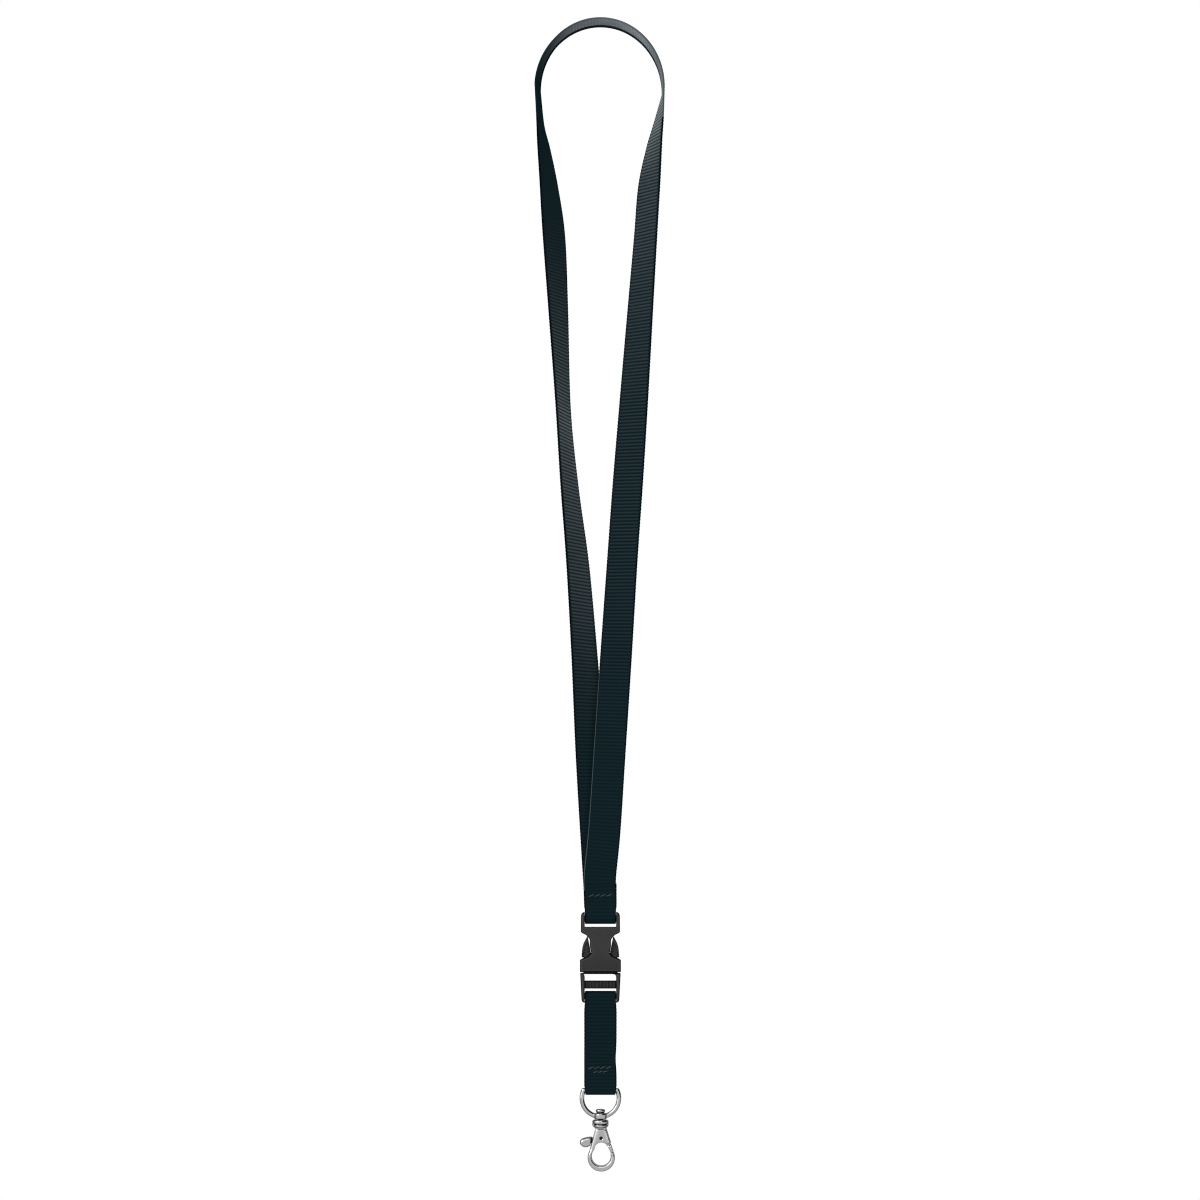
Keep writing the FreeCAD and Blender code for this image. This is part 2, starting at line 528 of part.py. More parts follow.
def leg_stations(rows, side):
    """Leg rows as stations; side is +1 for the left leg and -1 for the right, the way its width opens."""
    out = []
    for x, y, z, turn_deg in rows:
        t = math.radians(turn_deg)
        out.append((Vector(x, y, z), ACROSS * (side * math.cos(t)) + LOOP_NORMAL * math.sin(t), FULL))
    return out


left_rows = between([(0, HANG_Y, SEAM_Z - 14, 0), (-0.3, HANG_Y, SEAM_Z - 5, 0),
                     (-0.7, HANG_Y + 0.3, SEAM_Z + 2, 0)] + LEFT_LEG[::-1], STEPS)
right_rows = between(RIGHT_LEG + [(-0.2, HANG_Y - PLY, SEAM_Z + 2, 0), (-0.1, HANG_Y - PLY, SEAM_Z - 5, 0),
                                  (0, HANG_Y - PLY, BAR_Z + 8.5, 0), (0, HANG_Y - PLY - 0.1, BAR_Z + 6.0, 0),
                                  (0, HANG_Y - BEND + 0.1, BAR_Z + 1.5, 0)], STEPS)
arch_middle = Vector(0, LEFT_LEG[0][1], LEFT_LEG[0][2])
arch = []
for k in range(1, ARCH_PARTS):
    a = math.pi * (1 - k / ARCH_PARTS)
    place = (arch_middle + ACROSS * (size["arch_half_width"] * math.cos(a))
             + UP_LOOP * (size["arch_rise"] * math.sin(a)))
    # the legs are still a little turned where they meet the arch, and its top tilts towards the level
    left_turn = math.radians((90 - LEFT_LEG[0][3]) * max(0.0, 1 - 4 * k / ARCH_PARTS))
    right_turn = math.radians((90 - RIGHT_LEG[0][3]) * max(0.0, 4 * k / ARCH_PARTS - 3))
    level = LEAN - math.radians(size["arch_tilt_deg"]) * math.sin(a)
    deep = Vector(0, math.cos(level), -math.sin(level))
    arch.append((place, ACROSS * (math.sin(left_turn) - math.sin(right_turn))
                 + deep * math.cos(left_turn + right_turn), FULL))
socket_wrap = bend(HANG_Y, BAR_Z, BEND, 180, 360, (SLOT, SLOT), -1)
back_ply = [(Vector(0, HANG_Y + BEND - 0.1, BAR_Z + 1.5), ACROSS * -1, SLOT),
            (Vector(0, HANG_Y + 1.5, BAR_Z + 4.0), ACROSS * -1, SLOT),
            (Vector(0, HANG_Y + PLY + 0.15, BAR_Z + 5.6), ACROSS * -1, FULL),
            (Vector(0, HANG_Y + PLY, BAR_Z + 7.5), ACROSS * -1, FULL),
            (Vector(0, HANG_Y + PLY, SEAM_Z - 1.5), ACROSS * -1, FULL)]
neck_stations = leg_stations(left_rows, 1) + arch + leg_stations(right_rows, -1) + socket_wrap + back_ply
# the webbing is squeezed where it enters the slot, and stays so as far as the socket's posts can swing
neck_stations = [(c, w, SLOT if c.z < BAR_Z + POST_REACH else wide) for c, w, wide in neck_stations]
neck = webbing("neck_strap", neck_stations)

PLUG_BAR_Z = size["split_z"] + size["plug_bar_z"]
RING_BAR_Z = size["split_z"] + size["ring_bar_z"]
RING_BEND = size["ring_wire_r"] + 3 * size["play"] + size["web_thick"] / 2
UNDER_RING = 13.2


def hang(y, z, wide=FULL):
    return (Vector(0, HANG_Y + y, z), ACROSS, wide)


short_stations = (
    [hang(PLY, RING_BAR_Z + 7.5), hang(PLY, RING_BAR_Z + 17), hang(PLY, PLUG_BAR_Z - 14),
     hang(1.4, PLUG_BAR_Z - 7), hang(1.95, PLUG_BAR_Z - 2.5, SLOT)]
    + bend(HANG_Y, PLUG_BAR_Z, BEND, 0, 180, (SLOT, SLOT), 1)
    + [hang(-1.95, PLUG_BAR_Z - 2.5, SLOT), hang(-1.4, PLUG_BAR_Z - 7), hang(-PLY, PLUG_BAR_Z - 14),
       hang(-PLY, RING_BAR_Z + 8), hang(-1.15, RING_BAR_Z + 5), hang(-1.45, RING_BAR_Z + 2.5)]
    + bend(HANG_Y, RING_BAR_Z, RING_BEND, 180, 360, (SLOT, UNDER_RING), 1)
    + [hang(1.45, RING_BAR_Z + 2), hang(0.8, RING_BAR_Z + 4.5), hang(0.0, RING_BAR_Z + 7.5),
       hang(0.0, RING_BAR_Z + 20)])
short = webbing("short_strap", short_stations)


def stitching(name, z):
    """One thread running in slanted dashes across a seam, through every ply and back."""
    run = STITCH_SPREAD / STITCHES
    face = 1.5 * PLY + 0.1
    knots = []
    for i in range(STITCHES):
        left = -STITCH_SPREAD / 2 + i * run
        right = left + 0.8 * run
        knots.append(Vector(left, HANG_Y - face, z - STITCH_RISE))
        knots.append(Vector(right, HANG_Y - face, z + STITCH_RISE))
        if i < STITCHES - 1:
            knots.append(Vector(right, HANG_Y + face, z + STITCH_RISE))
            knots.append(Vector(left + run, HANG_Y + face, z - STITCH_RISE))
    whole = Part.makeSphere(size["thread_r"], knots[0])
    for a, b in zip(knots, knots[1:]):
        whole = whole.fuse(Part.makeCylinder(size["thread_r"], (b - a).Length, a, b - a))
        whole = whole.fuse(Part.makeSphere(size["thread_r"], b))
    thread = doc.addObject("Part::Feature", name)
    thread.Label = name
    thread.Shape = whole.removeSplitter()


stitching("neck_strap_stitching", SEAM_Z - 7.4)
stitching("short_strap_stitching", RING_BAR_Z + 10.2)

# ---------------------------------------------------------------- checks and export
doc.recompute()
pieces = [o for o in doc.Objects if o.isDerivedFrom("PartDesign::Body")
          or o.TypeId == "Part::Feature"]
for o in doc.Objects:
    if any(word in ("Invalid", "Error") for word in o.State):
        raise SystemExit(f"{o.Name} is in state {o.State}")
for piece in pieces:
    shape = piece.Shape
    if shape.isNull() or not shape.isValid() or len(shape.Solids) != 1:
        raise SystemExit(f"{piece.Label} is not one valid solid")
labels = [piece.Label for piece in pieces]
if len(set(labels)) != len(labels):
    raise SystemExit("two pieces share a name")
for piece in pieces:
    piece.Shape.exportStep(f"parts/{piece.Label}.step")
    box = piece.Shape.BoundBox
    print(f"{piece.Label:24} {piece.Shape.Volume:9.2f} mm3  z {box.ZMin:8.2f} to {box.ZMax:8.2f}")
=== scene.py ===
# The looks of the woven neck lanyard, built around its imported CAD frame: webbing with modelled ribs, sewn
# thread, moulded plastic, and plated metal, in a plain studio. Lengths are in millimetres until a mesh is
# made.
import math

import bpy
import numpy as np
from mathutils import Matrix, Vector


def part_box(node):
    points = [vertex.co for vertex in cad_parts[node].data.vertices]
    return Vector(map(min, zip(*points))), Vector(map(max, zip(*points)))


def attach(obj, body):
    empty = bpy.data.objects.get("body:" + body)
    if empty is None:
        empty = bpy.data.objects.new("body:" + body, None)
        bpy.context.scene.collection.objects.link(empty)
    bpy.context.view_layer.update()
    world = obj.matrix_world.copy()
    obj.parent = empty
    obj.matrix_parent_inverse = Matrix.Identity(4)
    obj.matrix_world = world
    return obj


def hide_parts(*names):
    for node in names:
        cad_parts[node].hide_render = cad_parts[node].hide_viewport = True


MM = 0.001

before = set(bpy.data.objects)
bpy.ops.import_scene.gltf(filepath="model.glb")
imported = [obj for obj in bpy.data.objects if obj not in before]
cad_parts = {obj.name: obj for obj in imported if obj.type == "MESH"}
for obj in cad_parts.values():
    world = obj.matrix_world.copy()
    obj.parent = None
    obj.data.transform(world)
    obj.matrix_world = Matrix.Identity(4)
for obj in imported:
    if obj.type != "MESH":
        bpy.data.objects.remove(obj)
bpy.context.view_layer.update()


# ---------------------------------------------------------------- places taken from the frame
def box_mm(node):
    low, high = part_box(node)
    return np.array(low) / MM, np.array(high) / MM


socket_low, socket_high = box_mm("buckle_socket")
hook_low, hook_high = box_mm("hook_body")
SOCKET_MOUTH = 0.25          # the socket's lowest edge stands this far above the buckle's parting line
SPLIT_Z = socket_low[2] - SOCKET_MOUTH
HANG_Y = (socket_low[1] + socket_high[1]) / 2

# the webbing and the bars that it passes round
WEB_WIDTH = 15.0
SLOT_WIDTH = 14.4            # squeezed to pass the buckle's slots
RING_WIDTHS = (14.4, 14.0)   # beside the ring's bar and under it, clear of the swinging ring
WEB_THICK = 0.9
PLY = WEB_THICK + 0.08       # from one sewn ply to the next
BAR_RADIUS = 1.5
BEND = BAR_RADIUS + 0.1 + WEB_THICK / 2
SOCKET_BAR_Z = SPLIT_Z + 24.95
PLUG_BAR_Z = SPLIT_Z - 11.08
RING_WIRE = 1.1
RING_BAR_Z = SPLIT_Z - 54.8
RING_BEND = RING_WIRE + 0.15 + WEB_THICK / 2
SQUEEZE_STARTS = 3.5         # above the socket's bar
SQUEEZE_LENGTH = 2.5

# the shape that the neck loop hangs in
SEAM_Z = SPLIT_Z + 43.0
LEAN = math.radians(16.0)
ARCH_HALF = 30.1
ARCH_RISE = 34.57
ARCH_TILT = math.radians(4.0)
ARCH_PARTS = 110
LEG_PARTS = 14

# the short loop's waist, where its stitching draws the right selvedge in
WAIST_Z = SPLIT_Z - 40.0
WAIST_DEPTH = 0.45
WAIST_REACH = 5.0

# the weave
RIB_PITCH = 1.68
RIB_STEPS = 6                # mesh rows to one rib
RIB_DEPTH = 0.13
RIB_ROUNDNESS = 0.8          # below 1 the crests are broader than the valleys
SCALLOP = 0.17
YARN_PITCH = 0.62
FACE_POINTS = 13
SHORT_RELIEF = 0.35

# painted shade on the neck arch: the far strip's width, how dark it is, and the height over which it fades in
FAR_SHADE = 4.2
SHADE_DEPTH = 0.95
SHADE_FADE = 30.0

# the stitches
STITCH_RADIUS = 0.21
STITCH_STEPS = 14
STITCH_LIFT = 0.26
STITCH_SUNK = 0.22           # the ends dip this far into the webbing
STITCH_DRIFT = 0.25          # a row climbs this much from its first stitch to its last

# edges
PLASTIC_ROUND = 1.3
METAL_ROUND = 0.8
PLATING = 0.06               # restores what rounding over takes off

# the cast hook: its eye, its neck, and the heights above the eye's middle between which the neck's dome
# fades in and out
EYE_R = 6.3
EYE_HOLE_R = 4.45
EYE_HOLE_RISE = 0.8
NECK_HALF = 6.5
NECK_SPREAD = 0.31
NECK_STARTS = (1.0, 4.5)
NECK_ENDS = (12.6, 13.6)
RING_DOME = 0.8
NECK_DOME = 0.5

# brightness of the studio: as a light on the object, and as mirrored in metal
BACKDROP_LIGHT = 0.75
BACKDROP_MIRRORED = 0.50
STUDIO_LIGHT = 0.80
STUDIO_MIRRORED = 1.15

# per-vertex values that the webbing's mesh hands to its material, among them painted sheen, light and shade
FIELDS = ("painted_sheen", "relief", "lit_selvedge", "shade", "lit")


# ---------------------------------------------------------------- small node helpers
class Nodes:
    """A short way to write a node tree."""

    def __init__(self, tree):
        self.tree = tree

    def add(self, kind, **values):
        node = self.tree.nodes.new(kind)
        for key, value in values.items():
            if hasattr(node, key):
                setattr(node, key, value)
            else:
                node.inputs[key.replace("_", " ")].default_value = value
        return node

    def link(self, a, b):
        self.tree.links.new(a, b)

    def maths(self, operation, a, b=0.0, clamp=False):
        node = self.tree.nodes.new("ShaderNodeMath")
        node.operation = operation
        node.use_clamp = clamp
        for i, x in enumerate((a, b)):
            if isinstance(x, (int, float)):
                node.inputs[i].default_value = x
            else:
                self.link(x, node.inputs[i])
        return node.outputs[0]

    def mix(self, factor, a, b):
        node = self.tree.nodes.new("ShaderNodeMix")
        node.data_type = "RGBA"
        for socket, x in ((node.inputs[0], factor), (node.inputs[6], a), (node.inputs[7], b)):
            if isinstance(x, (int, float)):
                socket.default_value = x
            elif isinstance(x, (tuple, list)):
                socket.default_value = (*x, 1.0)
            else:
                self.link(x, socket)
        return node.outputs[2]

    def ramp(self, factor, stops):
        node = self.tree.nodes.new("ShaderNodeValToRGB")
        ramp = node.color_ramp
        while len(ramp.elements) < len(stops):
            ramp.elements.new(0.5)
        for element, (place, level) in zip(ramp.elements, stops):
            element.position = place
            element.color = (level, level, level, 1.0)
        self.link(factor, node.inputs[0])
        return node.outputs[0]

    def bump(self, height, strength, distance, normal=None):
        node = self.tree.nodes.new("ShaderNodeBump")
        node.inputs["Strength"].default_value = strength
        node.inputs["Distance"].default_value = distance
        self.link(height, node.inputs["Height"])
        if normal is not None:
            self.link(normal, node.inputs["Normal"])
        return node.outputs[0]


def new_material(name):
    material = bpy.data.materials.new(name)
    material.use_nodes = True
    tree = material.node_tree
    shader = tree.nodes["Principled BSDF"]
    return material, Nodes(tree), shader


# ---------------------------------------------------------------- materials
def webbing_material():
    """Dark teal-black polyester with pale rib crests, fine warp yarns, and painted light and shade."""
    material, n, shader = new_material("ribbed_webbing")
    uv = n.add("ShaderNodeUVMap", uv_map="across_along")
    parts = n.add("ShaderNodeSeparateXYZ")
    n.link(uv.outputs[0], parts.inputs[0])
    across, along = parts.outputs[0], parts.outputs[1]
    rib_phase = n.maths("MULTIPLY", along, 2 * math.pi / (RIB_PITCH * MM))
    crest = n.maths("ADD", n.maths("MULTIPLY", n.maths("COSINE", rib_phase), 0.5), 0.5)
    # warp yarns run along the strap and step half a yarn from one rib to the next
    rib_index = n.maths("FLOOR", n.maths("ADD", n.maths("DIVIDE", along, RIB_PITCH * MM), 0.5))
    step = n.maths("MULTIPLY", n.maths("MODULO", rib_index, 2.0), math.pi)
    yarn = n.maths("SINE", n.maths("ADD", n.maths("MULTIPLY", across, 2 * math.pi / (YARN_PITCH * MM)), step))
    coords = n.add("ShaderNodeTexCoord")
    cloudy = n.add("ShaderNodeTexNoise", Scale=70.0, Detail=4.0)
    fibre = n.add("ShaderNodeTexNoise", Scale=5200.0, Detail=2.0)
    for texture in (cloudy, fibre):
        n.link(coords.outputs["Object"], texture.inputs["Vector"])
    painted_sheen, relief, lit_selvedge, shade, lit = [
        n.add("ShaderNodeAttribute", attribute_name=field).outputs["Fac"] for field in FIELDS]
    from_middle = n.maths("MULTIPLY", n.maths("ABSOLUTE", across), 2 / (WEB_WIDTH * MM))
    edge = n.ramp(from_middle, [(0.90, 0.0), (0.96, 1.0)])

    # painted light and shade on the ribs, crests pale and valleys dark; where the relief is low they barely
    # show
    crest_seen = n.maths("ADD", n.maths("MULTIPLY", n.maths("SUBTRACT", crest, 0.5), relief), 0.5)
    tone = n.mix(crest_seen, (0.0010, 0.0090, 0.0130), (0.0124, 0.0260, 0.0322))
    cloud = n.ramp(cloudy.outputs[0], [(0.35, 0.0), (0.7, 0.35)])
    tone = n.mix(cloud, tone, (0.0055, 0.0150, 0.0185))
    # dark lines painted along the selvedges, and painted shade on the far strip over the neck
    dark_line = n.maths("MULTIPLY", n.maths("MULTIPLY", edge, 0.85), n.maths("SUBTRACT", 1.0, lit))
    dark_line = n.maths("MAXIMUM", dark_line, shade)
    tone = n.mix(dark_line, tone, (0.0008, 0.0030, 0.0040))
    # painted light: a pale line on the front leg's selvedge where it crosses the leg behind
    tone = n.mix(lit_selvedge, tone, (0.060, 0.098, 0.105))
    # painted light on the near selvedge over the neck, as strong as the painted sheen there
    near_edge = n.maths("MULTIPLY", n.maths("MULTIPLY", edge, lit), painted_sheen)
    tone = n.mix(near_edge, tone, (0.130, 0.145, 0.155))
    n.link(tone, shader.inputs["Base Color"])

    # painted sheen: its strength from the painted levels, stronger on rib crests, gone in the painted shade
    sheen_weight = n.maths("MULTIPLY", painted_sheen, n.maths("ADD", n.maths("MULTIPLY", crest_seen, 1.2), 0.4))
    uneven = n.maths("ADD", n.maths("MULTIPLY", cloudy.outputs[0], 0.6), 0.7)
    sheen_weight = n.maths("MULTIPLY", sheen_weight, n.maths("SUBTRACT", 1.0, shade))
    n.link(n.maths("MULTIPLY", sheen_weight, uneven, clamp=True), shader.inputs["Sheen Weight"])
    shader.inputs["Sheen Roughness"].default_value = 0.45
    shader.inputs["Sheen Tint"].default_value = (0.86, 0.94, 1.0, 1.0)
    shader.inputs["Roughness"].default_value = 0.75
    shader.inputs["Specular IOR Level"].default_value = 0.0
    height = n.maths("ADD", n.maths("MULTIPLY", yarn, 0.5), n.maths("MULTIPLY", fibre.outputs[0], 0.6))
    n.link(n.bump(height, 0.55, 0.00007), shader.inputs["Normal"])
    return material


def thread_material():
    """Twisted polyester thread, a shade lighter than the webbing."""
    material, n, shader = new_material("sewing_thread")
    coords = n.add("ShaderNodeTexCoord")
    fibre = n.add("ShaderNodeTexNoise", Scale=3000.0, Detail=3.0)
    n.link(coords.outputs["Object"], fibre.inputs["Vector"])
    tone = n.mix(fibre.outputs[0], (0.014, 0.030, 0.036), (0.034, 0.056, 0.063))
    n.link(tone, shader.inputs["Base Color"])
    shader.inputs["Roughness"].default_value = 0.45
    shader.inputs["Sheen Weight"].default_value = 0.35
    n.link(n.bump(fibre.outputs[0], 0.4, 0.00004), shader.inputs["Normal"])
    return material


def crevices(n, reach):
    """1 in the open and 0 deep in a crevice, within reach in millimetres; used to paint shade into crevices.
    """
    shade = n.add("ShaderNodeAmbientOcclusion", samples=8)
    shade.inputs["Distance"].default_value = reach * MM
    return n.ramp(shade.outputs["AO"], [(0.25, 0.0), (0.85, 1.0)])


def plastic_material():
    """Satin moulded acetal: fine grain, soft gloss, and painted shade on outlines, in hollows and at the
    foot.
    """
    material, n, shader = new_material("moulded_plastic")
    coords = n.add("ShaderNodeTexCoord")
    grain = n.add("ShaderNodeTexNoise", Scale=3800.0, Detail=3.0)
    broad = n.add("ShaderNodeTexNoise", Scale=160.0, Detail=3.0)
    for texture in (grain, broad):
        n.link(coords.outputs["Object"], texture.inputs["Vector"])
    rounded = n.add("ShaderNodeBevel", samples=8)
    rounded.inputs["Radius"].default_value = PLASTIC_ROUND * MM
    geometry = n.add("ShaderNodeNewGeometry")
    facing = n.add("ShaderNodeVectorMath", operation="DOT_PRODUCT")
    n.link(rounded.outputs[0], facing.inputs[0])
    n.link(geometry.outputs["Normal"], facing.inputs[1])
    # painted shade on the edges as they round away, with a painted highlight as a thin pale line inside them
    inset = n.ramp(facing.outputs["Value"], [(0.92, 0.0), (0.955, 1.0), (0.985, 1.0), (0.998, 0.0)])
    edge = n.ramp(facing.outputs["Value"], [(0.90, 1.0), (0.945, 0.0)])
    # the moulded radius between a face and a side wall is the part whose normal leans away from both
    lean = n.add("ShaderNodeSeparateXYZ")
    n.link(coords.outputs["Normal"], lean.inputs[0])
    leaning = n.maths("ABSOLUTE", lean.outputs[1])
    radius = n.ramp(leaning, [(0.06, 0.0), (0.20, 1.0), (0.93, 1.0), (0.985, 0.0)])
    flank = n.maths("MAXIMUM", edge, radius)
    height = n.add("ShaderNodeSeparateXYZ")
    n.link(coords.outputs["Generated"], height.inputs[0])

    tone = n.mix(broad.outputs[0], (0.020, 0.020, 0.021), (0.036, 0.036, 0.036))
    # painted shade: each piece darker towards its bottom
    tone = n.mix(n.ramp(height.outputs[2], [(0.10, 0.45), (0.38, 0.0)]), tone, (0.008, 0.008, 0.008))
    # painted highlight just inside the edges
    tone = n.mix(n.maths("MULTIPLY", inset, 0.5), tone, (0.075, 0.075, 0.075))
    # painted shade on the edges and the moulded radii
    tone = n.mix(n.maths("MULTIPLY", flank, 0.92), tone, (0.002, 0.002, 0.002))
    # painted shade in crevices
    open_tone = n.mix(crevices(n, 2.5), (0.002, 0.002, 0.002), tone)
    n.link(open_tone, shader.inputs["Base Color"])
    n.link(n.maths("ADD", n.maths("MULTIPLY", flank, -0.45), 0.45), shader.inputs["Specular IOR Level"])
    n.link(n.ramp(broad.outputs[0], [(0.2, 0.34), (0.8, 0.48)]), shader.inputs["Roughness"])
    n.link(n.bump(grain.outputs[0], 0.25, 0.00003, rounded.outputs[0]), shader.inputs["Normal"])
    return material


def hook_dome(n, coords, eye):
    """Height in metres of the cast hook's domed faces: round along its ring and gently round up its neck."""
    parts = n.add("ShaderNodeSeparateXYZ")
    n.link(coords.outputs["Object"], parts.inputs[0])
    x = n.maths("SUBTRACT", parts.outputs[0], eye[0])
    z = n.maths("SUBTRACT", parts.outputs[2], eye[2])

    def from_ring(middle_z, radius):
        dz = n.maths("SUBTRACT", z, middle_z * MM)
        reach = n.maths("SQRT", n.maths("ADD", n.maths("MULTIPLY", x, x), n.maths("MULTIPLY", dz, dz)))
        return n.maths("SUBTRACT", reach, radius * MM)

    def round_over(share):
        """A half ellipse over 0 to 1."""
        bow = n.maths("MULTIPLY", share, n.maths("SUBTRACT", 1.0, share))
        return n.maths("SQRT", n.maths("MULTIPLY", bow, 4.0, clamp=True))

    inner = n.maths("MAXIMUM", from_ring(EYE_HOLE_RISE, EYE_HOLE_R), 0.0)
    outer = n.maths("MAXIMUM", n.maths("MULTIPLY", from_ring(0.0, EYE_R), -1.0), 0.0)
    across_ring = n.maths("DIVIDE", inner, n.maths("ADD", n.maths("ADD", inner, outer), 0.00001))
    neck_half = n.maths("ADD", n.maths("MULTIPLY", z, -NECK_SPREAD), NECK_HALF * MM)
    across_neck = n.maths("ADD", n.maths("DIVIDE", n.maths("MULTIPLY", x, 0.5), neck_half), 0.5)

    def above(start, end):
        rise = n.add("ShaderNodeMapRange", interpolation_type="SMOOTHSTEP")
        rise.inputs["From Min"].default_value = start * MM
        rise.inputs["From Max"].default_value = end * MM
        n.link(z, rise.inputs["Value"])
        return rise.outputs[0]

    in_neck = above(*NECK_STARTS)
    under_collar = n.maths("SUBTRACT", 1.0, above(*NECK_ENDS))
    ring_height = n.maths("MULTIPLY", round_over(across_ring), RING_DOME * MM)
    neck_bow = n.maths("MULTIPLY", round_over(across_neck), under_collar)
    neck_height = n.maths("MULTIPLY", neck_bow, NECK_DOME * MM)
    return n.maths("ADD", n.maths("MULTIPLY", ring_height, n.maths("SUBTRACT", 1.0, in_neck)),
                   n.maths("MULTIPLY", neck_height, in_neck))


def plated_material(name, tone, roughness, painted_dark, darkened=0.0, eye=None):
    """Plated metal with faint polishing lines and slight waves, painted dark reflections on its flanks, and
    painted shade in crevices.
    """
    material, n, shader = new_material(name)
    coords = n.add("ShaderNodeTexCoord")
    wave = n.add("ShaderNodeTexNoise", Scale=420.0, Detail=2.0)
    lines = n.add("ShaderNodeTexNoise", Scale=2600.0, Detail=4.0)
    for texture in (wave, lines):
        n.link(coords.outputs["Object"], texture.inputs["Vector"])
    plate_tone = n.mix(wave.outputs[0], tone, tuple(c * 0.86 for c in tone))
    rounded = n.add("ShaderNodeBevel", samples=8)
    rounded.inputs["Radius"].default_value = METAL_ROUND * MM
    turned = n.add("ShaderNodeLayerWeight")
    turned.inputs["Blend"].default_value = 0.5
    n.link(rounded.outputs[0], turned.inputs["Normal"])
    # a painted dark reflection: a dark line just inside each outline
    flank = n.ramp(turned.outputs["Facing"], [(0.22, 0.0), (0.36, 1.0), (0.62, 1.0), (0.85, 0.3)])
    plate_tone = n.mix(n.maths("MULTIPLY", flank, darkened), plate_tone, painted_dark)
    # painted shade in crevices
    n.link(n.mix(crevices(n, 1.6), painted_dark, plate_tone), shader.inputs["Base Color"])
    shader.inputs["Metallic"].default_value = 1.0
    rough = n.add("ShaderNodeMapRange")
    rough.inputs["To Min"].default_value = roughness * 0.7
    rough.inputs["To Max"].default_value = roughness * 1.5
    n.link(lines.outputs[0], rough.inputs["Value"])
    n.link(rough.outputs[0], shader.inputs["Roughness"])
    shape = rounded.outputs[0]
    if eye is not None:
        shape = n.bump(hook_dome(n, coords, eye), 1.0, 1.0, shape)
    fine = n.bump(lines.outputs[0], 0.06, 0.00002, shape)
    n.link(n.bump(wave.outputs[0], 0.12, 0.00010, fine), shader.inputs["Normal"])
    return material


def eye_in_hook():
    """The middle of the hook's eye, in the hook's own coordinates."""
    place = Vector(((hook_low[0] + hook_high[0]) / 2 * MM, HANG_Y * MM, (hook_low[2] + EYE_R) * MM))
    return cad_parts["hook_body"].matrix_world.inverted() @ place


NICKEL_TONE = (0.86, 0.86, 0.86)
NICKEL_PAINTED_DARK = (0.02, 0.02, 0.02)
WEBBING = webbing_material()
THREAD = thread_material()
PLASTIC = plastic_material()
NICKEL = plated_material("bright_nickel", NICKEL_TONE, 0.08, NICKEL_PAINTED_DARK, 0.8)
HOOK_NICKEL = plated_material("bright_nickel_hook", NICKEL_TONE, 0.08, NICKEL_PAINTED_DARK, 0.8, eye_in_hook())
SPRING_STEEL = plated_material("spring_steel", (0.50, 0.50, 0.52), 0.25, (0.05, 0.05, 0.05))
BLACKED_STEEL = plated_material("blacked_pin", (0.035, 0.035, 0.037), 0.35, (0.01, 0.01, 0.01))


# ---------------------------------------------------------------- the webbing's path
LOOP_NORMAL = np.array([0.0, math.cos(LEAN), -math.sin(LEAN)])
UP_LOOP = np.array([0.0, math.sin(LEAN), math.cos(LEAN)])
ACROSS = np.array([1.0, 0.0, 0.0])

# each leg from the arch down to the seam: middle of the webbing (x, y, z) and its turn, 90 edge-on, 0 flat.
# Most x and turn values were printed by a script that fitted the render's edges to the photo's.
RIGHT_LEG = [(30.2, -9.4, -32.8, 88), (27.8, -13.3, -48.0, 72), (25.7, -16.6, -60.0, 60.5),
             (23.3, -22.1, -79.0, 46), (21.6, -29.1, -103.0, 43), (19.1, -38.7, -137.0, 36.5),
             (15.7, -52.4, -184.5, 26), (12.9, -63.2, -222.5, 18), (10.2, -73.9, -260.0, 17),
             (7.1, -87.1, -306.7, 9), (4.3, -98.5, -348.3, 7), (1.9, -108.0, -384.0, 4)]
LEFT_LEG = [(-30.0, -9.4, -32.8, 81), (-28.8, -13.3, -48.0, 77.5), (-27.1, -16.6, -60.0, 67),
            (-24.6, -22.1, -79.0, 55), (-22.2, -29.1, -103.0, 45), (-20.2, -38.7, -137.0, 51.5),
            (-17.7, -52.4, -185.0, 62.5), (-14.6, -63.1, -223.0, 56), (-10.6, -73.6, -261.0, 44.5),
            (-7.2, -86.0, -307.0, 34.5), (-4.6, -95.4, -348.5, 21), (-2.1, -104.9, -384.0, 8)]


def between(rows, parts):
    """Pass a smooth curve through rows of numbers, with `parts` steps from each row to the next."""
    rows = [np.array(r, float) for r in rows]
    out = []
    for i in range(len(rows) - 1):
        a, b = rows[max(i - 1, 0)], rows[i]
        c, d = rows[i + 1], rows[min(i + 2, len(rows) - 1)]
        for k in range(parts):
            t = k / parts
            out.append(0.5 * (2 * b + (c - a) * t + (2 * a - 5 * b + 4 * c - d) * t * t
                              + (3 * b - a - 3 * c + d) * t ** 3))
    out.append(rows[-1])
    return out


def leg_stations(rows, side):
    """Rows as stations (centre, width direction, width); side +1 is the left leg and -1 the right."""
    out = []
    for x, y, z, turn_deg in rows:
        t = math.radians(turn_deg)
        out.append((np.array([x, y, z]), ACROSS * side * math.cos(t) + LOOP_NORMAL * math.sin(t), WEB_WIDTH))
    return out


def bend(y, z, radius, start_deg, end_deg, widths, side, parts=24):
    """Stations round a bar along X, by angle in the YZ plane, 0 behind the bar and 90 above it."""
    out = []
    for k in range(parts + 1):
        a = math.radians(start_deg + (end_deg - start_deg) * k / parts)
        wide = widths[0] + (widths[1] - widths[0]) * math.sin(math.pi * k / parts)
        out.append((np.array([0, y + radius * math.cos(a), z + radius * math.sin(a)]), ACROSS * side, wide))
    return out


def straight(rows, side):
    """Stations from (y, z, width) rows with the webbing flat to the viewer, joined by a smooth curve."""
    return [(np.array([0.0, y, z]), ACROSS * side, wide) for y, z, wide in between(rows, 8)]


